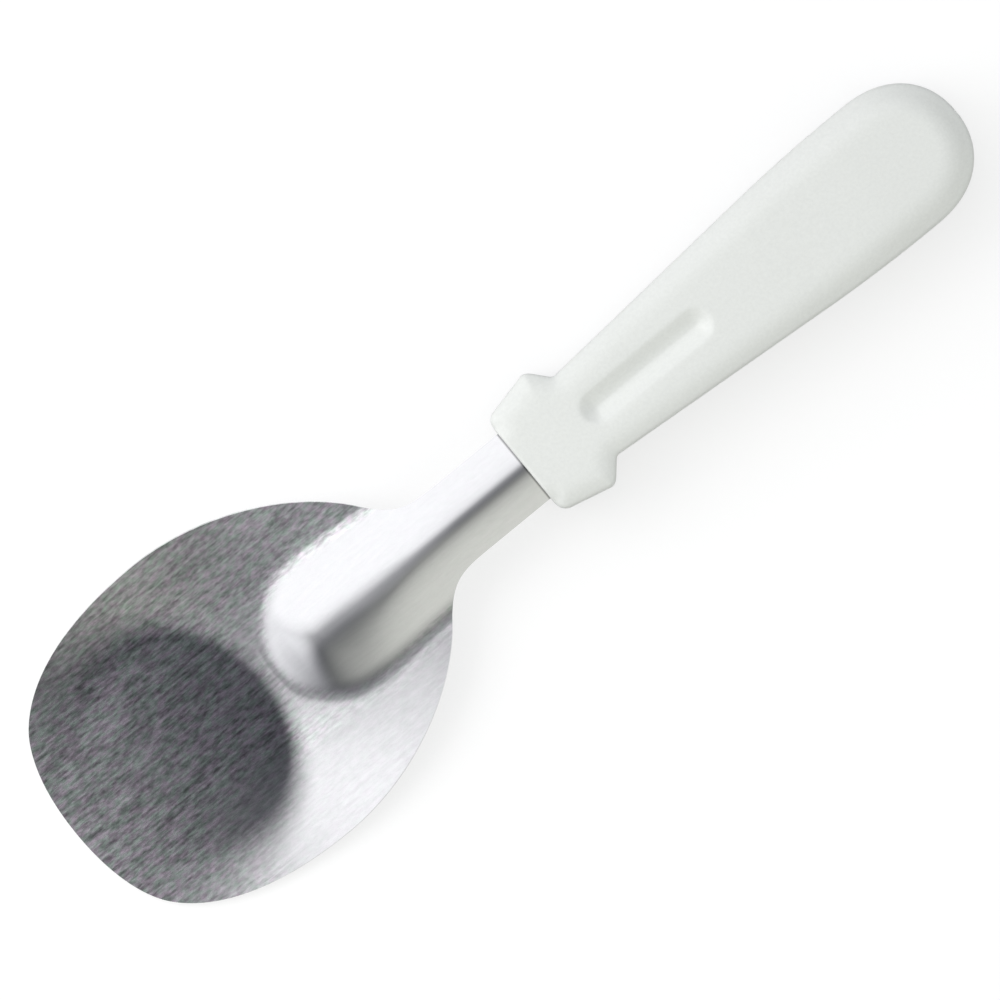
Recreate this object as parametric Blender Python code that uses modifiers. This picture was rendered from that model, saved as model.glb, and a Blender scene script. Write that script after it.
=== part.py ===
"""Ice cream spade: a pressed steel blade held in a moulded plastic handle.

The tool lies on a table with the blade pointing along -X and the hollow of the
blade facing +Z.  Dimensions are in millimetres: x along the tool from the blade
tip, y sideways from its middle, z up from the table.
"""
import math

import bmesh
import bpy
from mathutils import Matrix, Vector
from mathutils.geometry import interpolate_bezier, intersect_point_line

MM = 0.001
LENGTH = 228.0
FIT_GAP = 0.3

# Blade outline, one side: x, y, heading in degrees, handle before, handle after
TIP = (0.0, 0.0, 90.0, 0.0, 12.4)
CORNER = (5.9, 22.4, 50.0, 4.0, 8.9)
WIDEST = (42.5, 34.5, 0.0, 19.3, 17.8)
WAIST = (85.6, 15.0, -52.0, 13.3, 7.5)
NECK = (99.6, 8.1, 0.0, 7.2, 0.0)
SHEET = 1.2
BLADE_COLUMNS = 30
FRONT_ROWS = 15
REAR_ROWS = 17
FILLET_ROWS = 7

# Floor of the blade: an egg shape, longer towards the tip
FLOOR_CENTRE = 29.2
FLOOR_FRONT = 28.1
FLOOR_REAR = 21.0
FLOOR_HALF = 25.7

# Bend between floor and wall: soft near the tip, tighter at the rear
FRONT_BEND = 6.6
REAR_BEND = 2.0
BEND_FROM = 10.7
BEND_TO = 60.0

# Wall round the floor: it starts at this slope and flattens outwards and to the tip
WALL_SLOPE = math.tan(math.radians(15.4))
WALL_FADE = 118.0
WALL_REACH = 34.0
WALL_EASE = 9.0
WALL_START = -20.7
WALL_FULL = 74.7

# Rib that rises out of the wall: straight flanks under a round crest, and a ramped nose
RIB_SHOULDER = 73.5
RIB_NOSE = 20.9
RIB_HALF = 15.8
RIB_FOOT = 1.0
NOSE_RAMP = 0.44
NOSE_BLEND = 1.2
CREST_RADIUS = 14.2
RIB_RISE = 3.45
RIB_FLANK = 0.29
RISE_FROM = 53.7
TAPER_FROM = 62.0
TAPER_TO = 90.0

# Arched neck that the rib grows into, which climbs less than the wall in front of it
NECK_CLIMB = 0.4
ARCH_START = 98.0
ARCH_HALF = 12.7
ARCH_RISE = 4.3
ARCH_FLANK = 0.54

# Tang inside the handle: level, and flatter than the neck
TANG_NECK = 120.0
TANG_WAIST = 130.0
TANG_HALF = 6.0
TANG_RISE = 2.2
TANG_END = 178.0
TANG_CORNER = 1.6
TANG_COLUMNS = 14
POCKET_MOUTH = 2.0
TANG_HOLES = (140.0, 166.0)
TANG_HOLE_RADIUS = 2.5

# Handle, seen from above
COLLAR_FRONT = 116.5
COLLAR_HALF = 11.85
COLLAR_FLARE = 0.234
COLLAR_CORNER = 2.0
SHOULDER_X = 130.2
SHOULDER_HALF = 12.4
SHOULDER_SLOPE = 1.15
SHOULDER_TIP = 1.6
SHOULDER_FILLET = 0.8
GRIP_START = 133.0
GRIP_HALF = 10.2
GRIP_SLOPE = 0.0782
GRIP_WIDEST = 15.12
GRIP_EASE = 1.0
BUTT_START = 211.3
BUTT_POWER = 2.2

# Handle, seen from the side: it thickens as far as its level part at the butt
GRIP_AXIS = 10.0
COLLAR_THICK = 16.8
BUTT_THICK = 20.0
BUTT_LEVEL = 204.0
FRONT_EDGE = 0.6

# Chamfer round both faces of the handle, wider at the butt, with a small round rim
EDGE_BAND = 2.5
BUTT_BAND = 4.6
BUTT_ROUNDED = 219.0
EDGE_SLOPE = 0.62
EDGE_SOFT = 1.4
EDGE_RIM = 0.5
BAND_LIMIT = 0.8
EDGE_STEPS = (0.0, 0.03, 0.1, 0.3, 0.55, 1.0)

# Thumb groove: a round-ended V channel in the upper and lower face
GROOVE_START = 131.7
GROOVE_END = 164.1
GROOVE_HALF = 3.6
GROOVE_FLOOR = 0.5
GROOVE_DEPTH = 1.9
GROOVE_OVERCUT = 2.0

ROUND_SIDES = 24

STEEL = (0.62, 0.62, 0.63, 1.0)
PLASTIC = (0.80, 0.815, 0.79, 1.0)


def smooth_max(a, b, blend):
    """The larger of two values, with the corner between them rounded."""
    near = max(blend - abs(a - b), 0.0) / blend
    return max(a, b) + near * near * blend / 4


def smooth_min(a, b, blend):
    """The smaller of two values, with the corner between them rounded."""
    return -smooth_max(-a, -b, blend)


def ease(value, low, high):
    """Share of the way from low to high, flat at both ends."""
    share = min(max((value - low) / (high - low), 0.0), 1.0)
    return share * share * (3 - 2 * share)


def placed(x, y, z):
    """A point of the tool as a point of the model, in metres."""
    return Vector((x - LENGTH / 2, y, z)) * MM


def outline_arc(start, end, count):
    """Points of the Bezier arc between two anchors of the blade outline."""
    def handle(anchor, reach):
        heading = math.radians(anchor[2])
        return Vector(anchor[:2]) + reach * Vector((math.cos(heading), math.sin(heading)))

    return interpolate_bezier(Vector(start[:2]), handle(start, start[4]),
                              handle(end, -end[3]), Vector(end[:2]), count + 1)


def straight_run(start, end, count):
    """Evenly spaced points from one point to another."""
    return [Vector(start).lerp(Vector(end), i / count) for i in range(count + 1)]


def wall_height(x, y):
    """How far the wall has climbed above the floor of the blade."""
    ahead = min(x, TANG_NECK) - FLOOR_CENTRE
    reach = FLOOR_REAR if ahead > 0 else FLOOR_FRONT
    ring = max(math.hypot(ahead / reach, y / FLOOR_HALF), 0.01)
    steepness = max(math.hypot(ahead / reach ** 2, y / FLOOR_HALF ** 2) / ring, 1 / FLOOR_HALF)
    bend = FRONT_BEND + (REAR_BEND - FRONT_BEND) * ease(x, BEND_FROM, BEND_TO)
    outside = smooth_max((ring - 1) / steepness, 0.0, bend)
    slowed = WALL_REACH + NECK_CLIMB * (outside - WALL_REACH)
    outside = smooth_min(outside, slowed, WALL_EASE)
    climb = WALL_SLOPE * WALL_FADE * (1 - math.exp(-outside / WALL_FADE))
    return climb * ease(x, WALL_START, WALL_FULL)


def rib_height(x, y):
    """How far the rib, or the arch of the neck, stands above the wall."""
    grown = ease(x, RISE_FROM, ARCH_START)
    rise = RIB_RISE + (ARCH_RISE - RIB_RISE) * grown
    rise -= (ARCH_RISE - TANG_RISE) * ease(x, TANG_NECK, TANG_WAIST)
    flank = RIB_FLANK + (ARCH_FLANK - RIB_FLANK) * grown
    crest = CREST_RADIUS * flank
    arch = rise - flank * (math.hypot(y, crest) - crest)
    half = RIB_HALF + (ARCH_HALF - RIB_HALF) * ease(x, TAPER_FROM, TAPER_TO)
    nose = max(RIB_SHOULDER - x, 0.0) / RIB_NOSE
    ring = max(math.hypot(nose, y / half), 0.001)
    steepness = max(math.hypot(nose / RIB_NOSE, y / half ** 2) / ring, 1 / RIB_NOSE)
    ramp = NOSE_RAMP * (1 - ring) / steepness
    return smooth_max(smooth_min(ramp, arch, NOSE_BLEND), 0.0, RIB_FOOT)


def sheet_height(x, y):
    """Height of the middle of the pressed sheet above the table."""
    return SHEET / 2 + wall_height(x, y) + rib_height(x, y)


def grip_half_width(x):
    """Half width of the handle, seen from above."""
    flare = COLLAR_HALF + COLLAR_FLARE * (x - COLLAR_FRONT)
    shoulder = SHOULDER_HALF - SHOULDER_SLOPE * (x - SHOULDER_X)
    collar = smooth_min(flare, shoulder, SHOULDER_TIP)
    grip = smooth_min(GRIP_HALF + GRIP_SLOPE * (x - GRIP_START), GRIP_WIDEST, GRIP_EASE)
    half = smooth_max(collar, grip, SHOULDER_FILLET)
    corner = max(COLLAR_CORNER - (x - COLLAR_FRONT), 0.0)
    half -= COLLAR_CORNER - math.sqrt(COLLAR_CORNER ** 2 - corner ** 2)
    butt = max(x - BUTT_START, 0.0) / (LENGTH - BUTT_START)
    return half * (1 - butt ** BUTT_POWER) ** (1 / BUTT_POWER)


def grip_half_thickness(x):
    """Half thickness of the handle at a place along it."""
    share = min((x - COLLAR_FRONT) / (BUTT_LEVEL - COLLAR_FRONT), 1.0)
    return (COLLAR_THICK + (BUTT_THICK - COLLAR_THICK) * share) / 2


def edge_band(x):
    """Width of the chamfer, which grows towards the butt."""
    return EDGE_BAND + (BUTT_BAND - EDGE_BAND) * ease(x, GRIP_START, BUTT_ROUNDED)


def edge_drop(x, y, outline):
    """How far the chamfer and its rim lie below the flat face of the handle."""
    spot = Vector((x, abs(y)))
    inside = LENGTH
    for start, end in zip(outline, outline[1:]):
        share = intersect_point_line(spot, start, end)[1]
        nearest = start.lerp(end, min(max(share, 0.0), 1.0))
        inside = min(inside, (spot - nearest).length)
    chamfer = smooth_max(EDGE_SLOPE * (edge_band(x) - inside), 0.0, EDGE_SOFT)
    short = max(EDGE_RIM - inside, 0.0)
    return chamfer + EDGE_RIM - math.sqrt(EDGE_RIM ** 2 - short ** 2)


def grip_stations():
    """Places along the handle where its outline needs a section."""
    front = [COLLAR_FRONT + COLLAR_CORNER * (1 - math.cos(math.radians(turn)))
             for turn in (0, 22, 45, 66, 90)]
    collar = [122.0, 125.5, 126.8, 128.0, 129.2, 130.4, 131.2, 132.0, GRIP_START]
    grip = [point.x for point in straight_run((GRIP_START, 0), (BUTT_START, 0), 7)[1:]]
    butt = [BUTT_START + (LENGTH - BUTT_START) * math.sin(math.radians(turn))
            for turn in (20, 36, 48, 57, 64, 70, 75, 79, 82.5, 86)]
    return front + collar + grip + butt


def grip_section(x, outline):
    """Points round the handle at one place along it, starting on the left."""
    inset = max(FRONT_EDGE - (x - COLLAR_FRONT), 0.0)
    shrink = FRONT_EDGE - math.sqrt(FRONT_EDGE ** 2 - inset ** 2)
    half = grip_half_width(x) - shrink
    thick = grip_half_thickness(x) - shrink
    band = min(edge_band(x) + EDGE_SOFT / EDGE_SLOPE, BAND_LIMIT * half)
    left = [half - band * step for step in EDGE_STEPS]
    upper = [(y, thick - edge_drop(x, y, outline)) for y in left]
    upper += [(-y, z) for y, z in reversed(upper)]
    return upper + [(-y, -z) for y, z in upper]


def new_mesh_object(name, bm, collection):
    """Turn a bmesh into an object of the given collection."""
    bmesh.ops.recalc_face_normals(bm, faces=bm.faces)
    mesh = bpy.data.meshes.new(name)
    bm.to_mesh(mesh)
    bm.free()
    mesh.shade_smooth()
    made = bpy.data.objects.new(name, mesh)
    collection.objects.link(made)
    return made


def sheet_object(name, sides, columns, thickness, collection, lip=None):
    """A pressed sheet: a grid laid between its side points, then thickened.

    The lip, where there is one, gives the curved front edge; the rows behind it
    straighten out towards the widest part of the blade.
    """
    rows = len(sides) - 1
    bm = bmesh.new()
    bmesh.ops.create_grid(bm, x_segments=rows, y_segments=columns, size=1)
    for vert in bm.verts:
        row = round((vert.co.x + 1) / 2 * rows)
        column = round((vert.co.y + 1) / 2 * columns)
        across = 2 * column / columns - 1
        x, y = sides[row].x, sides[row].y * across
        if lip:
            curl = max(1 - row / len(lip), 0.0) ** 2
            edge = lip[abs(2 * column - columns) // 2]
            x += curl * (edge.x - sides[0].x)
            y += curl * (math.copysign(edge.y, across) - sides[0].y * across)
        vert.co = placed(x, y, sheet_height(x, y))
    made = new_mesh_object(name, bm, collection)
    shell = made.modifiers.new("Sheet thickness", "SOLIDIFY")
    shell.thickness = thickness * MM
    shell.offset = 0
    shell.use_even_offset = True
    return made


def grip_object(name, collection):
    """The handle: a cylinder cut lengthwise, its rings moved to the sections."""
    stations = grip_stations()
    outline = [Vector((x, grip_half_width(x))) for x in stations + [LENGTH]]
    sections = [grip_section(x, outline) for x in stations]
    sides = len(sections[0])

    bm = bmesh.new()
    bmesh.ops.create_cone(bm, cap_ends=True, segments=sides, radius1=1, radius2=1, depth=2)
    along = [edge for edge in bm.edges if edge.verts[0].co.z * edge.verts[1].co.z < 0]
    bmesh.ops.subdivide_edges(bm, edges=along, cuts=len(stations) - 2)
    for vert in bm.verts:
        station = round((vert.co.z + 1) / 2 * (len(stations) - 1))
        turn = math.atan2(vert.co.y, vert.co.x) / math.tau
        y, z = sections[station][round(turn * sides) % sides]
        vert.co = placed(stations[station], y, GRIP_AXIS + z)
    return new_mesh_object(name, bm, collection)


def pin_object(name, x, radius, collection):
    """An upright pin across the tang, used as a cutter."""
    bm = bmesh.new()
    bmesh.ops.create_cone(bm, cap_ends=True, segments=ROUND_SIDES, radius1=radius * MM,
                          radius2=radius * MM, depth=GRIP_AXIS * MM)
    bmesh.ops.translate(bm, verts=bm.verts, vec=placed(x, 0, sheet_height(x, 0)))
    return new_mesh_object(name, bm, collection)


def groove_object(name, side, collection):
    """Cutter for the groove of the upper (side 1) or lower (side -1) face."""
    middle = (GROOVE_START + GROOVE_END) / 2
    stretch = (GROOVE_END - GROOVE_START) / 2 - GROOVE_HALF
    height = GROOVE_DEPTH + GROOVE_OVERCUT
    spread = (GROOVE_HALF - GROOVE_FLOOR) / GROOVE_DEPTH
    floor = grip_half_thickness(middle) - GROOVE_DEPTH
    bm = bmesh.new()
    bmesh.ops.create_cone(bm, cap_ends=True, segments=ROUND_SIDES, radius1=GROOVE_FLOOR,
                          radius2=GROOVE_FLOOR + spread * height, depth=height)
    half_step = Matrix.Rotation(math.pi / ROUND_SIDES, 3, "Z")
    bmesh.ops.rotate(bm, verts=bm.verts, matrix=half_step)
    for vert in bm.verts:
        x = middle + vert.co.x + math.copysign(stretch, vert.co.x)
        z = GRIP_AXIS + side * (floor + height / 2 + vert.co.z)
        vert.co = placed(x, vert.co.y, z)
    return new_mesh_object(name, bm, collection)


def cut(target, cutter):
    """Take the cutter's shape out of the target."""
    modifier = target.modifiers.new("Cut " + cutter.name, "BOOLEAN")
    modifier.operation = "DIFFERENCE"
    modifier.solver = "EXACT"
    modifier.object = cutter


def surface(name, color, metallic, roughness):
    """A plain material."""
    material = bpy.data.materials.new(name)
    material.use_nodes = True
    shader = material.node_tree.nodes["Principled BSDF"]
    shader.inputs["Base Color"].default_value = color
    shader.inputs["Metallic"].default_value = metallic
    shader.inputs["Roughness"].default_value = roughness
    material.diffuse_color = color
    return material


def tang_sides():
    """Side points of the tang, from its neck to its end."""
    neck = Vector((TANG_NECK, NECK[1]))
    waist = Vector((TANG_WAIST, TANG_HALF))
    shoulder = Vector((TANG_END - TANG_CORNER, TANG_HALF))
    end = Vector((TANG_END, TANG_HALF - TANG_CORNER))
    return straight_run(neck, waist, 3) + straight_run(waist, shoulder, 8)[1:] + [end]


def blade_sides():
    """Side points of the whole blade, from the corner of the lip to the tang."""
    bowl = outline_arc(CORNER, WIDEST, FRONT_ROWS)
    bowl += outline_arc(WIDEST, WAIST, REAR_ROWS)[1:]
    bowl += outline_arc(WAIST, NECK, FILLET_ROWS)[1:]
    neck = straight_run(NECK[:2], (TANG_NECK, NECK[1]), 5)[1:-1]
    return bowl + neck + tang_sides()


def pocket_sides():
    """Side points of the room that the handle leaves for the tang."""
    mouth = Vector((COLLAR_FRONT - POCKET_MOUTH, NECK[1]))
    return [point + Vector((FIT_GAP, FIT_GAP)) for point in [mouth] + tang_sides()]


def main():
    for old in list(bpy.data.objects):
        bpy.data.objects.remove(old, do_unlink=True)
    spade = bpy.data.collections.new("ice_cream_spade")
    cutters = bpy.data.collections.new("cutters")
    bpy.context.scene.collection.children.link(spade)
    bpy.context.scene.collection.children.link(cutters)

    lip = outline_arc(TIP, CORNER, BLADE_COLUMNS // 2)
    blade = sheet_object("pressed_blade", blade_sides(), BLADE_COLUMNS, SHEET, spade, lip)
    handle = grip_object("moulded_handle", spade)
    pocket = sheet_object("tang_pocket", pocket_sides(), TANG_COLUMNS, SHEET + 2 * FIT_GAP,
                          cutters)
    for number, x in enumerate(TANG_HOLES, 1):
        hole = pin_object(f"anchor_hole_{number}", x, TANG_HOLE_RADIUS, cutters)
        plug = pin_object(f"anchor_plug_{number}", x, TANG_HOLE_RADIUS - FIT_GAP, cutters)
        cut(blade, hole)
        cut(pocket, plug)
    cut(handle, pocket)
    cut(handle, groove_object("upper_groove", 1, cutters))
    cut(handle, groove_object("lower_groove", -1, cutters))
    for cutter in cutters.objects:
        cutter.hide_render = True
        cutter.display_type = "WIRE"

    blade.data.materials.append(surface("brushed steel", STEEL, 1.0, 0.3))
    handle.data.materials.append(surface("white plastic", PLASTIC, 0.0, 0.45))


main()
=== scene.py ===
# %% [markdown]
# # An ice cream spade
# The tool has two pieces: a blade pressed from one sheet of stainless steel, and a white
# plastic handle that is moulded round the blade's tang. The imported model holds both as
# plain solids. This lesson gives each solid a finer twin of the same size, a finish made
# of shader nodes, and a small studio to look at it in.

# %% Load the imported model
import math

import bmesh
import bpy
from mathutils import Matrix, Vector, kdtree
from mathutils.geometry import interpolate_bezier


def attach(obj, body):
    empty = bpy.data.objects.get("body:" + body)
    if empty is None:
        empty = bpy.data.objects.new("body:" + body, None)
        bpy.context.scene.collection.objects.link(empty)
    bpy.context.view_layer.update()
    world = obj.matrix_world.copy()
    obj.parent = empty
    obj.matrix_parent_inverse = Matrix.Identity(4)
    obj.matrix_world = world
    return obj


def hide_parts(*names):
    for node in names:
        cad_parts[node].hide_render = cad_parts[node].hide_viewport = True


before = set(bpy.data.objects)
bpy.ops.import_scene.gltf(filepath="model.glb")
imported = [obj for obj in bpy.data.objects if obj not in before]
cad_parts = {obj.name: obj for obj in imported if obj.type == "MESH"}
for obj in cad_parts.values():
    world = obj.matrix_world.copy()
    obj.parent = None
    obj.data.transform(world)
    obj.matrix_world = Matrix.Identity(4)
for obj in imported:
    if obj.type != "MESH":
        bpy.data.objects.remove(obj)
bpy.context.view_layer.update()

# %% [markdown]
# ## Measuring along the tool
# A toolmaker would measure everything from the tip of the blade: so far along, so far to
# the side, so high above the table. Keeping those three numbers in millimetres makes the
# drawing easy to check, and one helper turns them into the metres that Blender uses.

# %% Millimetres from the tip
MM = 0.001
LENGTH = 228.0


def placed(along, side, height):
    """A point measured from the tip of the blade, in the model's metres."""
    return Vector((along - LENGTH / 2, side, height)) * MM


def smooth_max(a, b, blend):
    """The larger of two values, with the corner between them rounded off."""
    near = max(blend - abs(a - b), 0.0) / blend
    return max(a, b) + near * near * blend / 4


def smooth_min(a, b, blend):
    """The smaller of two values, with the corner between them rounded off."""
    return -smooth_max(-a, -b, blend)


def ease(value, low, high):
    """Share of the way from low to high, level at both ends."""
    share = min(max((value - low) / (high - low), 0.0), 1.0)
    return share * share * (3 - 2 * share)


print("tip at", placed(0, 0, 0), "butt at", placed(LENGTH, 0, 0))

# %% [markdown]
# ## The outline of the blade
# Seen from above, each half of the blade is one flowing line: a nearly straight lip, a
# tight corner, a long belly, and a turn into the neck. It could be traced with many
# points, but four Bezier arcs hold it with five anchors, as a draughtsman would draw it.
# Each anchor has a place, a heading, and the length of its two handles.

# %% Arcs of the outline
TIP = (0.0, 0.0, 90.0, 0.0, 12.4)
CORNER = (5.9, 22.4, 50.0, 4.0, 8.9)
WIDEST = (42.5, 34.5, 0.0, 19.3, 17.8)
WAIST = (85.6, 15.0, -52.0, 13.3, 7.5)
NECK = (99.6, 8.1, 0.0, 7.2, 0.0)


def arc(start, end, steps):
    """Points along the arc between two anchors."""
    def handle(anchor, reach):
        heading = math.radians(anchor[2])
        return Vector(anchor[:2]) + reach * Vector((math.cos(heading), math.sin(heading)))

    return interpolate_bezier(Vector(start[:2]), handle(start, start[4]),
                              handle(end, -end[3]), Vector(end[:2]), steps + 1)


def run(start, end, steps):
    """Evenly spaced points on a straight stretch."""
    return [Vector(start).lerp(Vector(end), i / steps) for i in range(steps + 1)]


# %% Side points from the lip to the end of the tang
TANG_NECK = (120.0, NECK[1])
TANG_WAIST = (130.0, 6.0)
TANG_SHOULDER = (176.4, 6.0)
TANG_END = (178.0, 4.4)
BLADE_COLUMNS = 104
LIP_ROWS, BELLY_ROWS, FILLET_ROWS = 60, 78, 30
NECK_ROWS, WAIST_ROWS, TANG_ROWS = 24, 8, 24

sides = arc(CORNER, WIDEST, LIP_ROWS) + arc(WIDEST, WAIST, BELLY_ROWS)[1:]
sides += arc(WAIST, NECK, FILLET_ROWS)[1:] + run(NECK[:2], TANG_NECK, NECK_ROWS)[1:]
sides += run(TANG_NECK, TANG_WAIST, WAIST_ROWS)[1:]
sides += run(TANG_WAIST, TANG_SHOULDER, TANG_ROWS)[1:] + [Vector(TANG_END)]
lip = arc(TIP, CORNER, BLADE_COLUMNS // 2)
print(len(sides), "rows of", BLADE_COLUMNS, "cells")

# %% [markdown]
# ## The pressing
# The press leaves a flat floor, open at the lip, with a wall that climbs gently behind
# and beside it. A rib starts in the wall with a ramped nose, stiffens the blade, and runs
# back as the arched neck, which goes on climbing a little. Inside the handle the sheet is
# level and flatter. All of it is one height above the table for every point of the sheet,
# so the shape can be written as a short function instead of being sculpted.

# %% Floor and wall
SHEET = 1.2
FLOOR_CENTRE, FLOOR_FRONT, FLOOR_REAR, FLOOR_HALF = 29.2, 28.1, 21.0, 25.7
FRONT_BEND, REAR_BEND, BEND_FROM, BEND_TO = 6.6, 2.0, 10.7, 60.0
WALL_SLOPE, WALL_FADE, WALL_REACH, WALL_EASE = math.tan(math.radians(15.4)), 118.0, 34.0, 9.0
WALL_START, WALL_FULL, NECK_CLIMB = -20.7, 74.7, 0.4
LEAST_RING = 0.001


def wall_height(x, y):
    """How far the wall has climbed above the floor."""
    ahead = min(x, TANG_NECK[0]) - FLOOR_CENTRE
    reach = FLOOR_REAR if ahead > 0 else FLOOR_FRONT
    ring = max(math.hypot(ahead / reach, y / FLOOR_HALF), LEAST_RING)
    steepness = max(math.hypot(ahead / reach ** 2, y / FLOOR_HALF ** 2) / ring, 1 / FLOOR_HALF)
    bend = FRONT_BEND + (REAR_BEND - FRONT_BEND) * ease(x, BEND_FROM, BEND_TO)
    outside = smooth_max((ring - 1) / steepness, 0.0, bend)
    slowed = WALL_REACH + NECK_CLIMB * (outside - WALL_REACH)
    outside = smooth_min(outside, slowed, WALL_EASE)
    climb = WALL_SLOPE * WALL_FADE * (1 - math.exp(-outside / WALL_FADE))
    return climb * ease(x, WALL_START, WALL_FULL)


# %% Rib and arched neck
RIB_SHOULDER, RIB_NOSE, RIB_HALF, RIB_FOOT = 73.5, 20.9, 15.8, 1.0
NOSE_RAMP, NOSE_BLEND, CREST_RADIUS = 0.44, 1.2, 14.2
RIB_RISE, RIB_FLANK, RISE_FROM = 3.45, 0.29, 53.7
TAPER_FROM, TAPER_TO, ARCH_HALF = 62.0, 90.0, 12.7
ARCH_START, ARCH_RISE, ARCH_FLANK, TANG_RISE = 98.0, 4.3, 0.54, 2.2


def rib_height(x, y):
    """How far the rib stands above the wall: an arch that a ramp rounds off at the nose."""
    grown = ease(x, RISE_FROM, ARCH_START)
    rise = RIB_RISE + (ARCH_RISE - RIB_RISE) * grown
    rise -= (ARCH_RISE - TANG_RISE) * ease(x, TANG_NECK[0], TANG_WAIST[0])
    flank = RIB_FLANK + (ARCH_FLANK - RIB_FLANK) * grown
    crest = CREST_RADIUS * flank
    arch = rise - flank * (math.hypot(y, crest) - crest)
    half = RIB_HALF + (ARCH_HALF - RIB_HALF) * ease(x, TAPER_FROM, TAPER_TO)
    nose = max(RIB_SHOULDER - x, 0.0) / RIB_NOSE
    ring = max(math.hypot(nose, y / half), LEAST_RING)
    steepness = max(math.hypot(nose / RIB_NOSE, y / half ** 2) / ring, 1 / RIB_NOSE)
    ramp = NOSE_RAMP * (1 - ring) / steepness
    return smooth_max(smooth_min(ramp, arch, NOSE_BLEND), 0.0, RIB_FOOT)


def sheet_middle(x, y):
    """Height of the middle of the sheet above the table."""
    return SHEET / 2 + wall_height(x, y) + rib_height(x, y)


print("crest of the neck at", round(sheet_middle(NECK[0], 0), 1), "mm")

# %% [markdown]
# ## The blade
# A grid is the sheet before pressing. Its rows are laid between the two side lines, the
# front rows curl round the lip, and every point is then lifted to the height of the
# pressing. Solidify gives the sheet its gauge, and a small bevel takes the edge off the
# cut rim, as the tumbling drum does. The rib and the neck come out of the press polished,
# and the brushed lines are clearest on the level floor and faint on the wall nearest the
# viewer and behind the floor. Each point of the grid remembers both for the finish. The
# sheet is drawn in by a hair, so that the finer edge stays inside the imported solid.

# %% How clear the brushed lines are
POLISHED_FROM = 0.5
NEAR_AHEAD, NEAR_SIDE, NEAR_FAINT = (12.0, 34.0), (8.0, 20.0), 0.9
BACK_AHEAD, BACK_SIDE, BACK_FAINT = (45.0, 49.0), (-18.0, -4.0), 0.6
LEVEL_UNDER, LEVEL_GAIN, LINES_LOST = 0.4, 0.3, 0.95


def line_strength(x, y, polished):
    """Strength of the lines at a point of the sheet."""
    near = NEAR_FAINT * ease(x, *NEAR_AHEAD) * ease(-y, *NEAR_SIDE)
    back = BACK_FAINT * ease(x, *BACK_AHEAD) * ease(-y, *BACK_SIDE)
    level = 1 - ease(wall_height(x, y), 0.0, LEVEL_UNDER)
    return 1 + LEVEL_GAIN * level - LINES_LOST * max(near, back, polished)


# %% Lay out the sheet
EDGE_MARGIN = 0.02
blade_bm = bmesh.new()
rows = len(sides) - 1
bmesh.ops.create_grid(blade_bm, x_segments=rows, y_segments=BLADE_COLUMNS, size=1)
polish = blade_bm.verts.layers.float.new("polish")
lined = blade_bm.verts.layers.float.new("lined")
for vert in blade_bm.verts:
    row = round((vert.co.x + 1) / 2 * rows)
    column = round((vert.co.y + 1) / 2 * BLADE_COLUMNS)
    across = 2 * column / BLADE_COLUMNS - 1
    curl = max(1 - row / LIP_ROWS, 0.0) ** 2
    edge = lip[abs(2 * column - BLADE_COLUMNS) // 2]
    x = sides[row].x + curl * (edge.x - sides[0].x)
    y = sides[row].y * across
    y += curl * (math.copysign(edge.y, across) - sides[0].y * across)
    vert[polish] = min(rib_height(x, y) / POLISHED_FROM, 1.0)
    vert[lined] = line_strength(x, y, vert[polish])
    height = sheet_middle(x, y)
    x += EDGE_MARGIN * (1 - x / LENGTH)
    y *= 1 - EDGE_MARGIN / WIDEST[1]
    vert.co = placed(x, y, height)
print(len(blade_bm.verts), "points in the sheet")


# %% Turn a bmesh into a piece
MERGE_WITHIN = 0.0001


def finished_piece(name, bm):
    """An object with its place in its mesh and its faces pointing outwards."""
    bmesh.ops.remove_doubles(bm, verts=bm.verts, dist=MERGE_WITHIN * MM)
    bmesh.ops.recalc_face_normals(bm, faces=bm.faces)
    mesh = bpy.data.meshes.new(name)
    bm.to_mesh(mesh)
    bm.free()
    mesh.shade_smooth()
    piece = bpy.data.objects.new(name, mesh)
    bpy.context.scene.collection.objects.link(piece)
    print(name, "has", len(mesh.polygons), "faces")
    return piece


blade = finished_piece("spade_blade", blade_bm)

# %% Gauge and rim
RIM_ROUND, RIM_ANGLE = 0.2, 50.0
gauge = blade.modifiers.new("Sheet gauge", "SOLIDIFY")
gauge.thickness = SHEET * MM
gauge.offset = 0
gauge.use_even_offset = True
rim = blade.modifiers.new("Deburred rim", "BEVEL")
rim.width = RIM_ROUND * MM
rim.segments = 2
rim.harden_normals = True
rim.limit_method = "ANGLE"
rim.angle_limit = math.radians(RIM_ANGLE)
print("finishing steps on the blade:", [step.name for step in blade.modifiers])

# %% [markdown]
# ## The outline of the handle
# From above, the handle starts as a collar that flares to a rounded shoulder, steps in
# to a narrow throat, and then widens slowly to a round butt. Straight stretches are
# joined with rounded corners, and the butt is a superellipse, a little squarer than a
# half circle.

# %% Half width of the handle
COLLAR_FRONT, COLLAR_HALF, COLLAR_FLARE, COLLAR_CORNER = 116.5, 11.85, 0.234, 2.0
SHOULDER_X, SHOULDER_HALF, SHOULDER_SLOPE = 130.2, 12.4, 1.15
SHOULDER_TIP, SHOULDER_FILLET = 1.6, 0.8
GRIP_START, GRIP_HALF, GRIP_SLOPE, GRIP_WIDEST, GRIP_EASE = 133.0, 10.2, 0.0782, 15.12, 1.0
BUTT_START, BUTT_POWER = 211.3, 2.2


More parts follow.
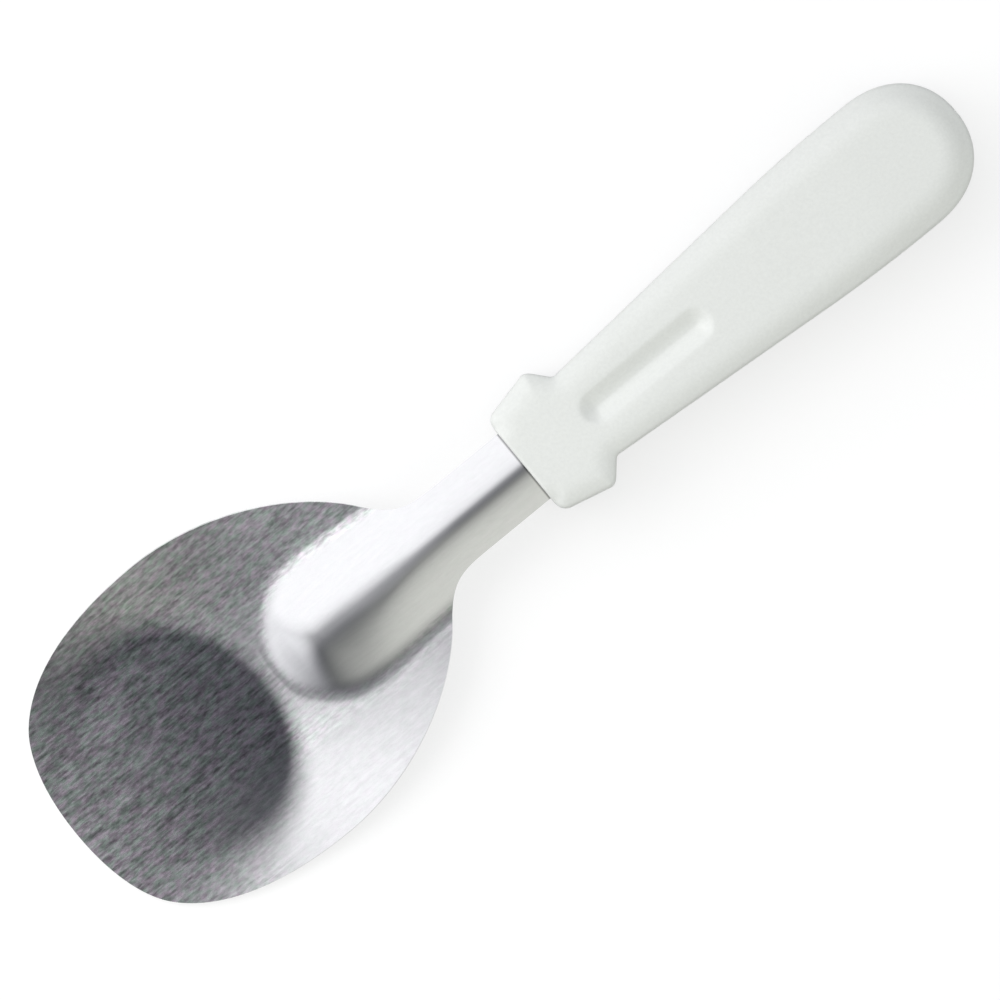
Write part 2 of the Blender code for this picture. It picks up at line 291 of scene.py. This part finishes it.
def grip_half(x):
    """Half width of the handle, seen from above."""
    flare = COLLAR_HALF + COLLAR_FLARE * (x - COLLAR_FRONT)
    shoulder = SHOULDER_HALF - SHOULDER_SLOPE * (x - SHOULDER_X)
    collar = smooth_min(flare, shoulder, SHOULDER_TIP)
    grip = smooth_min(GRIP_HALF + GRIP_SLOPE * (x - GRIP_START), GRIP_WIDEST, GRIP_EASE)
    half = smooth_max(collar, grip, SHOULDER_FILLET)
    corner = max(COLLAR_CORNER - (x - COLLAR_FRONT), 0.0)
    half -= COLLAR_CORNER - math.sqrt(COLLAR_CORNER ** 2 - corner ** 2)
    butt = max(x - BUTT_START, 0.0) / (LENGTH - BUTT_START)
    return half * (1 - butt ** BUTT_POWER) ** (1 / BUTT_POWER)


print("handle is", round(2 * grip_half(SHOULDER_X), 1), "mm wide at the shoulder and",
      round(2 * grip_half(BUTT_START), 1), "mm at the butt")

# %% [markdown]
# ## The faces of the handle
# The upper and lower face are flat, with a soft chamfer that keeps its width all the way
# round the outline, even round the shoulders of the collar. A bevel would fold over
# itself at those shoulders. Measuring how far each point lies inside the outline, and
# letting the face drop by that distance, gives the same edge without the fold.

# %% Thickness and chamfered edge
GRIP_AXIS, COLLAR_THICK, BUTT_THICK, BUTT_LEVEL = 10.0, 16.8, 20.0, 204.0
EDGE_BAND, BUTT_BAND, BUTT_ROUNDED = 2.5, 4.6, 219.0
EDGE_SLOPE, EDGE_SOFT, EDGE_RIM = 0.62, 1.4, 0.5
FRONT_EDGE = 0.6
WALL_DRAFT, DRAFT_SHARE = 0.1, 0.2


def half_thickness(x):
    """Half thickness of the handle."""
    share = min(max((x - COLLAR_FRONT) / (BUTT_LEVEL - COLLAR_FRONT), 0.0), 1.0)
    return (COLLAR_THICK + (BUTT_THICK - COLLAR_THICK) * share) / 2


def edge_band(x):
    """Width of the chamfered edge, which grows towards the butt."""
    return EDGE_BAND + (BUTT_BAND - EDGE_BAND) * ease(x, GRIP_START, BUTT_ROUNDED)


def face_half(x):
    """Half width of a face, which the mould's draft keeps inside the parting line."""
    half = grip_half(x)
    return half - min(WALL_DRAFT, DRAFT_SHARE * half)


print("butt is", round(2 * half_thickness(LENGTH), 1), "mm thick")

# %% Places along the handle
THROAT_END = 166.0
FRONT_CUTS, COLLAR_CUTS, THROAT_CUTS, GRIP_CUTS, BUTT_CUTS = 5, 42, 80, 30, 45


def quarter_turn(step, steps):
    """Angle after some of the equal steps of a quarter turn."""
    return math.pi / 2 * step / steps


front = [COLLAR_FRONT + FRONT_EDGE * (1 - math.cos(quarter_turn(i, FRONT_CUTS)))
         for i in range(FRONT_CUTS)]
collar = [point.x for point in run((COLLAR_FRONT + FRONT_EDGE, 0), (GRIP_START, 0), COLLAR_CUTS)]
throat = [point.x for point in run((GRIP_START, 0), (THROAT_END, 0), THROAT_CUTS)[1:]]
grip = [point.x for point in run((THROAT_END, 0), (BUTT_START, 0), GRIP_CUTS)[1:]]
butt = [BUTT_START + (LENGTH - BUTT_START) * math.sin(quarter_turn(i, BUTT_CUTS))
        for i in range(1, BUTT_CUTS - 1)]
stations = front + collar + throat + grip + butt
print(len(stations), "sections along the handle, the last at", round(stations[-1], 2), "mm")

# %% How far a point lies inside the outline
SAMPLES_BETWEEN = 5
samples = []
for start, end in zip(stations, stations[1:] + [LENGTH]):
    samples += [point.x for point in run((start, 0), (end, 0), SAMPLES_BETWEEN)[:-1]]
samples.append(LENGTH)
outline = kdtree.KDTree(len(samples))
for number, x in enumerate(samples):
    outline.insert(Vector((x, face_half(x), 0)), number)
outline.balance()


def edge_drop(x, y):
    """How far the chamfer, and the small radius on its rim, lie below the flat face."""
    inside = outline.find(Vector((x, abs(y), 0)))[2]
    chamfer = smooth_max(EDGE_SLOPE * (edge_band(x) - inside), 0.0, EDGE_SOFT)
    short = max(EDGE_RIM - inside, 0.0)
    return chamfer + EDGE_RIM - math.sqrt(EDGE_RIM ** 2 - short ** 2)


print("edge drops", round(edge_drop(THROAT_END, face_half(THROAT_END)), 2), "mm at the throat")

# %% [markdown]
# ## The thumb groove
# A shallow channel with sloping sides and round ends runs along the throat. It has the
# shape that a countersink leaves when it is drawn along a line, so its depth depends only
# on the distance from that line. The lip of the groove and its bottom are slightly round.

# %% Depth of the groove
GROOVE_START, GROOVE_END, GROOVE_HALF, GROOVE_DEPTH = 131.7, 164.1, 3.6, 1.9
GROOVE_FLOOR, GROOVE_BOTTOM_ROUND, GROOVE_LIP_ROUND = 0.5, 0.6, 0.3


def groove_depth(x, y):
    """How deep the groove is at a point of the face."""
    middle = (GROOVE_START + GROOVE_END) / 2
    reach = (GROOVE_END - GROOVE_START) / 2 - GROOVE_HALF
    off_line = math.hypot(max(abs(x - middle) - reach, 0.0), y)
    slope = GROOVE_DEPTH / (GROOVE_HALF - GROOVE_FLOOR)
    depth = smooth_min(slope * (GROOVE_HALF - off_line), GROOVE_DEPTH, GROOVE_BOTTOM_ROUND)
    return smooth_max(depth, 0.0, GROOVE_LIP_ROUND)


print("groove is", round(groove_depth((GROOVE_START + GROOVE_END) / 2, 0), 2), "mm deep")

# %% [markdown]
# ## Sections of the handle
# Each section is a ring of points: over the upper face, down the right wall, back under
# the lower face and up the left wall. Points crowd together on the rounded edges and in
# the groove, where the shape turns. The walls lean in a little from the parting line in
# the middle, so that the handle can leave its mould.

# %% Points round one section
EDGE_STEPS, FLAT_STEPS, GROOVE_STEPS = 10, 4, 16
GROOVE_ZONE = 4.4
BAND_SPREAD, BAND_LIMIT = 1.3, 0.8
# share of the wall's height, and how much of the draft the wall leans in there
WALL_LEVELS = ((0.6, 0.6), (0.03, 0.2), (0.015, 0.0), (-0.015, 0.0), (-0.03, 0.2), (-0.6, 0.6))


def face_places(half, band):
    """Distances from the middle to the side, across one face."""
    edge = [half - band * (1 - math.cos(quarter_turn(i, EDGE_STEPS)))
            for i in range(EDGE_STEPS + 1)]
    zone = min(GROOVE_ZONE, (half - band) / 2)
    flat = [edge[-1] + (zone - edge[-1]) * i / FLAT_STEPS for i in range(1, FLAT_STEPS + 1)]
    groove = [zone * (1 - i / GROOVE_STEPS) for i in range(1, GROOVE_STEPS + 1)]
    left = edge + flat + groove
    return left + [-y for y in reversed(left[:-1])]


def section(x):
    """Points round the handle at one place along it."""
    inset = max(FRONT_EDGE - (x - COLLAR_FRONT), 0.0)
    shrink = FRONT_EDGE - math.sqrt(FRONT_EDGE ** 2 - inset ** 2)
    half, outer = face_half(x) - shrink, grip_half(x) - shrink
    top = half_thickness(x) - shrink
    ring = []
    for y in face_places(half, min(BAND_SPREAD * edge_band(x), BAND_LIMIT * half)):
        ring.append((y, top - edge_drop(x, y) - groove_depth(x, y)))
    corner = ring[-1][1]
    right = [(-outer + (outer - half) * lean, corner * level) for level, lean in WALL_LEVELS]
    half_ring = ring + right
    return half_ring + [(-y, -z) for y, z in half_ring]


print(len(section(THROAT_END)), "points round a section")

# %% Points round the pocket for the tang
POCKET_GAP, PROBE = 0.12, 0.01


def pocket_section(x, half):
    """The same number of points round the sheet, with a little room to spare."""
    count = 2 * (EDGE_STEPS + FLAT_STEPS + GROOVE_STEPS) + 1

    def skin(y, offset):
        slope = (sheet_middle(x, y + PROBE) - sheet_middle(x, y - PROBE)) / (2 * PROBE)
        lean = math.hypot(1, slope)
        return y - slope / lean * offset, sheet_middle(x, y) - GRIP_AXIS + offset / lean

    reach = SHEET / 2 + POCKET_GAP
    room = half + POCKET_GAP
    upper = [skin(room * (1 - 2 * i / (count - 1)), reach) for i in range(count)]
    levels = [(1 - (i + 1) * 2 / (len(WALL_LEVELS) + 1)) for i in range(len(WALL_LEVELS))]
    right = [skin(-room, reach * level) for level in levels]
    lower = [skin(room * (2 * i / (count - 1) - 1), -reach) for i in range(count)]
    left = [skin(room, -reach * level) for level in levels]
    return upper + right + lower + left


# %% [markdown]
# ## The handle
# A cylinder with many cuts along its length becomes the handle: its rings are moved to
# the sections one after another. The first rings line the pocket that the tang sits in,
# from its far end back to the mouth, so the front face closes round the neck.

# %% Bend a cylinder through the sections
CREASE_ANGLE = 40.0
pocket = [TANG_END, TANG_SHOULDER] + run(TANG_WAIST, TANG_NECK, WAIST_ROWS)
pocket.append((COLLAR_FRONT, NECK[1]))
rings = [(x, pocket_section(x, half)) for x, half in pocket]
rings += [(x, section(x)) for x in stations]
ring_size = len(rings[0][1])

handle_bm = bmesh.new()
bmesh.ops.create_cone(handle_bm, cap_ends=True, segments=ring_size, radius1=1, radius2=1, depth=2)
lengthwise = [e for e in handle_bm.edges if e.verts[0].co.z * e.verts[1].co.z < 0]
bmesh.ops.subdivide_edges(handle_bm, edges=lengthwise, cuts=len(rings) - 2)
for vert in handle_bm.verts:
    x, ring = rings[round((vert.co.z + 1) / 2 * (len(rings) - 1))]
    turn = math.atan2(vert.co.x, vert.co.y) / math.tau
    y, z = ring[round(turn * ring_size) % ring_size]
    vert.co = placed(x, y, GRIP_AXIS + z)
handle = finished_piece("spade_handle", handle_bm)
handle.data.set_sharp_from_angle(angle=math.radians(CREASE_ANGLE))

# %% [markdown]
# ## Brushed stainless steel
# The blade is brushed along its length. Brushing leaves hairlines that scatter light
# sideways, so a reflection is drawn out across the blade. The shader's anisotropy does
# the drawing out, with a tangent that points across the blade, and stretched noises add
# the lines themselves: short dashes, long scores, and bands of different roughness. The
# lines are mostly brightness, because bumps as fine as that would only sparkle.


# %% Helpers for node trees
def new_finish(name):
    """A material with its node tree and its main shader."""
    material = bpy.data.materials.new(name)
    material.use_nodes = True
    tree = material.node_tree
    return material, tree, tree.nodes["Principled BSDF"]


def add_node(tree, kind, **settings):
    """A node with some of its properties or inputs set."""
    node = tree.nodes.new(kind)
    for key, value in settings.items():
        if key in node.inputs:
            node.inputs[key].default_value = value
        else:
            setattr(node, key, value)
    return node


NOISE_ROUGHNESS = 0.6


def stretched_noise(tree, scale, detail):
    """Noise on Object coordinates, stretched by a different scale on each axis."""
    place = add_node(tree, "ShaderNodeTexCoord")
    mapping = add_node(tree, "ShaderNodeMapping", Scale=scale)
    noise = add_node(tree, "ShaderNodeTexNoise", Scale=1.0, Detail=detail,
                     Roughness=NOISE_ROUGHNESS)
    tree.links.new(place.outputs["Object"], mapping.inputs["Vector"])
    tree.links.new(mapping.outputs["Vector"], noise.inputs["Vector"])
    return noise.outputs["Fac"]


# %% Helpers for values and colours
# most of a noise lies between these two values
NOISE_SPREAD = (0.3, 0.7)


def mapped(tree, value, low, high, to_low, to_high, kind="LINEAR"):
    """A value carried from one range to another."""
    node = add_node(tree, "ShaderNodeMapRange", interpolation_type=kind)
    limits = {"From Min": low, "From Max": high, "To Min": to_low, "To Max": to_high}
    for name, number in limits.items():
        node.inputs[name].default_value = number
    tree.links.new(value, node.inputs["Value"])
    return node.outputs["Result"]


def noise_between(tree, scale, detail, low, high, spread=NOISE_SPREAD):
    """Noise carried from its usual spread to a range of its own."""
    return mapped(tree, stretched_noise(tree, scale, detail), *spread, low, high)


def combined(tree, operation, first, second):
    """Two values put together by one step of arithmetic."""
    node = add_node(tree, "ShaderNodeMath", operation=operation)
    tree.links.new(first, node.inputs[0])
    tree.links.new(second, node.inputs[1])
    return node.outputs["Value"]


def scaled(tree, colour, share):
    """A colour, constant or worked out by nodes, made darker or paler by a value."""
    node = add_node(tree, "ShaderNodeVectorMath", operation="SCALE")
    if isinstance(colour, tuple):
        node.inputs[0].default_value = colour
    else:
        tree.links.new(colour, node.inputs[0])
    tree.links.new(share, node.inputs["Scale"])
    return node.outputs["Vector"]


# %% Steel
ANISOTROPY = 0.6
steel, tree, shader = new_finish("brushed stainless")
shader.inputs["Metallic"].default_value = 1.0
shader.inputs["Anisotropic"].default_value = ANISOTROPY
place = add_node(tree, "ShaderNodeTexCoord")
axes = add_node(tree, "ShaderNodeSeparateXYZ")
tree.links.new(place.outputs["Object"], axes.inputs["Vector"])
along = axes.outputs["X"]
polished = add_node(tree, "ShaderNodeAttribute", attribute_name="polish").outputs["Fac"]
line_share = add_node(tree, "ShaderNodeAttribute", attribute_name="lined").outputs["Fac"]

# %% Brightness of the lines, and a painted shadow line where the neck enters the collar
# scales of noises are grains to the metre along the blade, across it and up
DASHES, DASH_DEPTH = (480.0, 1350.0, 480.0), 0.55
SCORES, SCORE_SPREAD, SCORE_DEPTH = (90.0, 1500.0, 90.0), (0.35, 0.65), 0.26
DARK_GREY, PALE_GREY = 0.26, 1.02
# painted shade: the steel is darkened just in front of the collar to stand in for the shadow gap
# there
SHADE_LINE_FROM, SHADE_LINE_TO, PAINTED_GAP_SHADE = COLLAR_FRONT - 0.5, COLLAR_FRONT - 0.1, 0.35

dashes = noise_between(tree, DASHES, 2.0, -DASH_DEPTH, DASH_DEPTH)
scores = noise_between(tree, SCORES, 1.0, -SCORE_DEPTH, SCORE_DEPTH, SCORE_SPREAD)
lines = combined(tree, "MULTIPLY", combined(tree, "ADD", dashes, scores), line_share)
grey = mapped(tree, lines, -1.0, 1.0, DARK_GREY, PALE_GREY)
# painted shade along the neck at the collar's front face
painted_gap_shade = mapped(tree, along, placed(SHADE_LINE_FROM, 0, 0).x, placed(SHADE_LINE_TO, 0, 0).x, 1.0, PAINTED_GAP_SHADE)
grey = combined(tree, "MULTIPLY", grey, painted_gap_shade)

# %% Faint tints between the lines
BLOTCHES = (500.0, 900.0, 500.0)
GREEN_TINT, PURPLE_TINT = (0.90, 1.04, 0.95, 1.0), (1.10, 0.96, 1.09, 1.0)

tint = add_node(tree, "ShaderNodeMix", data_type="RGBA")
tint.inputs["A"].default_value = GREEN_TINT
tint.inputs["B"].default_value = PURPLE_TINT
blotches = noise_between(tree, BLOTCHES, 1.0, -0.5, 0.5)
blotches = combined(tree, "MULTIPLY", blotches, line_share)
tree.links.new(mapped(tree, blotches, -0.5, 0.5, 0.0, 1.0), tint.inputs["Factor"])
tree.links.new(scaled(tree, tint.outputs["Result"], grey), shader.inputs["Base Color"])

# %% Roughness, which grows towards the worn lip
BANDS, SMOOTHEST, ROUGHEST = (200.0, 1100.0, 200.0), 0.045, 0.075
WEAR_REACH, LIP_WEAR, RIB_SOFTER = 44.0, 0.15, 0.034

rough = noise_between(tree, BANDS, 2.0, SMOOTHEST, ROUGHEST)
worn = mapped(tree, along, placed(0, 0, 0).x, placed(WEAR_REACH, 0, 0).x, LIP_WEAR, 0.0)
rough = combined(tree, "ADD", rough, worn)
rough = combined(tree, "ADD", rough, mapped(tree, polished, 0.0, 1.0, 0.0, RIB_SOFTER))
tree.links.new(rough, shader.inputs["Roughness"])

# %% Hairlines, and the direction of the brushing
HAIRLINES, HAIRLINE_DEPTH = (300.0, 1500.0, 300.0), 0.2
BRUSHED_BUMP, POLISHED_BUMP, TANGENT_DIP = 0.012, 0.004, -0.5

hairlines = stretched_noise(tree, HAIRLINES, 2.0)
bump = add_node(tree, "ShaderNodeBump", Distance=HAIRLINE_DEPTH * MM)
strength = mapped(tree, polished, 0.0, 1.0, BRUSHED_BUMP, POLISHED_BUMP)
tree.links.new(strength, bump.inputs["Strength"])
tree.links.new(hairlines, bump.inputs["Height"])
tree.links.new(bump.outputs["Normal"], shader.inputs["Normal"])
tangent = add_node(tree, "ShaderNodeCombineXYZ", Y=1.0, Z=TANGENT_DIP)
tree.links.new(tangent.outputs["Vector"], shader.inputs["Tangent"])
blade.data.materials.append(steel)
print(steel.name, "has", len(tree.nodes), "nodes")

# %% [markdown]
# ## White moulded plastic
# The handle is an off-white with a hint of green, satin rather than glossy. Its mould was
# lightly blasted, which leaves a very fine grain. The grain is a small bump and a faint
# mottle in the colour, and a slow noise keeps the white from being perfectly even.

# %% Plastic
PLASTIC_WHITE, PLASTIC_ROUGHNESS = (0.785, 0.80, 0.775), 0.42
MOTTLE, MOTTLE_DEPTH = (1500.0, 1500.0, 1500.0), 0.025
CLOUD, CLOUD_DEPTH = (40.0, 40.0, 40.0), 0.007
GRAIN, GRAIN_DEPTH, GRAIN_STRENGTH = (1200.0, 1200.0, 1200.0), 0.1, 0.25

plastic, tree, shader = new_finish("satin white plastic")
shader.inputs["Roughness"].default_value = PLASTIC_ROUGHNESS
mottle = noise_between(tree, MOTTLE, 2.0, 1 - MOTTLE_DEPTH, 1 + MOTTLE_DEPTH)
cloud = noise_between(tree, CLOUD, 1.0, 1 - CLOUD_DEPTH, 1 + CLOUD_DEPTH)
white = scaled(tree, PLASTIC_WHITE, combined(tree, "MULTIPLY", mottle, cloud))
tree.links.new(white, shader.inputs["Base Color"])
grain = stretched_noise(tree, GRAIN, 1.0)
bump = add_node(tree, "ShaderNodeBump", Strength=GRAIN_STRENGTH, Distance=GRAIN_DEPTH * MM)
tree.links.new(grain, bump.inputs["Height"])
tree.links.new(bump.outputs["Normal"], shader.inputs["Normal"])
handle.data.materials.append(plastic)
print(plastic.name, "has", len(tree.nodes), "nodes")

# %% [markdown]
# ## The table
# The tool lies on white paper. The paper catches the tool's soft shadow as a plain matt
# surface, and a glow that only the camera and reflections can see lifts it to white. The
# glow lights nothing, so the pale handle keeps its shading. The paper lies a hair below
# the tool, so that the two flat undersides don't flicker through it.

# %% Table
TABLE_HALF, TABLE_GAP = 8000.0, 0.02
PAPER_GREY, PAPER_GLOW = (0.35, 0.35, 0.35, 1.0), 0.68

floor_bm = bmesh.new()
bmesh.ops.create_grid(floor_bm, x_segments=1, y_segments=1, size=TABLE_HALF * MM)
bmesh.ops.translate(floor_bm, verts=floor_bm.verts, vec=(0, 0, -TABLE_GAP * MM))
table = finished_piece("table", floor_bm)
paper, tree, shader = new_finish("white paper")
shader.inputs["Base Color"].default_value = PAPER_GREY
shader.inputs["Roughness"].default_value = 1.0
shader.inputs["Specular IOR Level"].default_value = 0.0
shader.inputs["Emission Color"].default_value = (1.0, 1.0, 1.0, 1.0)

# %% Glow for the camera and for reflections
path = add_node(tree, "ShaderNodeLightPath")
seen = combined(tree, "MAXIMUM", path.outputs["Is Camera Ray"], path.outputs["Is Glossy Ray"])
glow = mapped(tree, seen, 0.0, 1.0, 0.0, PAPER_GLOW)
tree.links.new(glow, shader.inputs["Emission Strength"])
table.data.materials.append(paper)

# %% [markdown]
# ## The softbox
# One soft lamp stands beyond the far side of the blade and brightens the edges of the
# handle that face it. It is left out of reflections, because the steel mirrors the room,
# and a lamp so near would show as a square.

# %% Softbox
SOFTBOX_SIDE, SOFTBOX_POWER, SOFTBOX_PLACE = 300.0, 0.53, (-86.0, 220.0, 250.0)

key_lamp = bpy.data.lights.new("key softbox", "AREA")
key_lamp.shape = "RECTANGLE"
key_lamp.size = key_lamp.size_y = SOFTBOX_SIDE * MM
key_lamp.energy = SOFTBOX_POWER
key = bpy.data.objects.new("key softbox", key_lamp)
key.location = placed(*SOFTBOX_PLACE)
key.rotation_euler = (-key.location).to_track_quat("-Z", "Y").to_euler()
key.visible_camera = False
key.visible_glossy = False
bpy.context.scene.collection.objects.link(key)
print(key.name, "of", SOFTBOX_POWER, "watts")

# %% [markdown]
# ## The room
# Polished steel shows whatever stands round it, so the room matters as much as the lamp.
# It is dark overhead, with large soft panels: bright ones beyond the far side and the
# tip, a warm one on the near side, and dim ones that fill in. Towards the table the room
# grows darker, as it would near a floor. Each panel is a round patch of the world's
# colour with a soft edge, so it needs no object.

# %% Panels
ROOM_DARK = (0.022, 0.026, 0.040)
# each panel: azimuth and angle from overhead of its middle, how far from there it stays
# full and where it ends, all in degrees, and its colour
ROOM_PANELS = {
    "far side": (105, 48, 28, 49, (0.82, 0.82, 0.82)),
    "far corner": (133, 62, 20, 67, (0.68, 0.68, 0.68)),
    "beyond the tip": (175, 91, 23, 50, (0.57, 0.57, 0.58)),
    "near side": (-83, 67, 5, 69, (0.99, 1.00, 0.91)),
    "overhead": (-171, 19, 2, 17, (0.19, 0.19, 0.19)),
    "behind the butt": (0, 50, 40, 49, (0.44, 0.45, 0.47)),
}
DUSK_FROM, DUSK_TO, DUSK = 0.08, 0.36, 0.55


def panel_direction(azimuth, overhead):
    """The direction in which a panel stands, seen from the tool."""
    turn, tilt = math.radians(azimuth), math.radians(overhead)
    return (math.sin(tilt) * math.cos(turn), math.sin(tilt) * math.sin(turn), math.cos(tilt))


# %% Room
world = bpy.data.worlds.new("studio")
world.use_nodes = True
tree = world.node_tree
direction = add_node(tree, "ShaderNodeTexCoord")
dark = add_node(tree, "ShaderNodeCombineXYZ", X=ROOM_DARK[0], Y=ROOM_DARK[1], Z=ROOM_DARK[2])
so_far = dark.outputs["Vector"]
for azimuth, overhead, full, end, colour in ROOM_PANELS.values():
    facing = add_node(tree, "ShaderNodeVectorMath", operation="DOT_PRODUCT")
    facing.inputs[1].default_value = panel_direction(azimuth, overhead)
    tree.links.new(direction.outputs["Generated"], facing.inputs[0])
    outside, inside = math.cos(math.radians(end)), math.cos(math.radians(full))
    soft = mapped(tree, facing.outputs["Value"], outside, inside, 0.0, 1.0, "SMOOTHSTEP")
    total = add_node(tree, "ShaderNodeVectorMath", operation="ADD")
    tree.links.new(so_far, total.inputs[0])
    tree.links.new(scaled(tree, colour, soft), total.inputs[1])
    so_far = total.outputs["Vector"]

# %% Darker towards the table
axes = add_node(tree, "ShaderNodeSeparateXYZ")
tree.links.new(direction.outputs["Generated"], axes.inputs["Vector"])
dusk = mapped(tree, axes.outputs["Z"], DUSK_FROM, DUSK_TO, DUSK, 1.0)
tree.links.new(scaled(tree, so_far, dusk), tree.nodes["Background"].inputs["Color"])
bpy.context.scene.world = world
print("panels in the room:", ", ".join(ROOM_PANELS))

# %% [markdown]
# ## The camera
# The picture is taken from straight above and from far away, so that almost nothing is
# foreshortened, with the tool lying across it from corner to corner.

# %% Camera
# the width is what the picture shows at the height of the handle's middle
VIEW_TURN, VIEW_ALONG, VIEW_SIDE = -39.4, 108.44, -2.16
VIEW_WIDTH, VIEW_HEIGHT = 200.2, 2000.0
camera_data = bpy.data.cameras.new("camera")
camera_data.lens = camera_data.sensor_width * VIEW_HEIGHT / VIEW_WIDTH
camera = bpy.data.objects.new("camera", camera_data)
camera.location = placed(VIEW_ALONG, VIEW_SIDE, GRIP_AXIS + VIEW_HEIGHT)
camera.rotation_euler = (0.0, 0.0, math.radians(VIEW_TURN))
bpy.context.scene.collection.objects.link(camera)
bpy.context.scene.camera = camera
bpy.context.scene.view_settings.view_transform = "Standard"
print("focal length", round(camera_data.lens, 1), "mm")

# %% [markdown]
# ## Handing over
# Each finished piece is tied to the body it moves with and takes the place of its plain
# solid.

# %% Hand the pieces to the frame
for piece, node, slot in ((blade, "pressed_blade", "brushed_steel"),
                          (handle, "moulded_handle", "white_plastic")):
    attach(piece, "root")
    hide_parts(node)
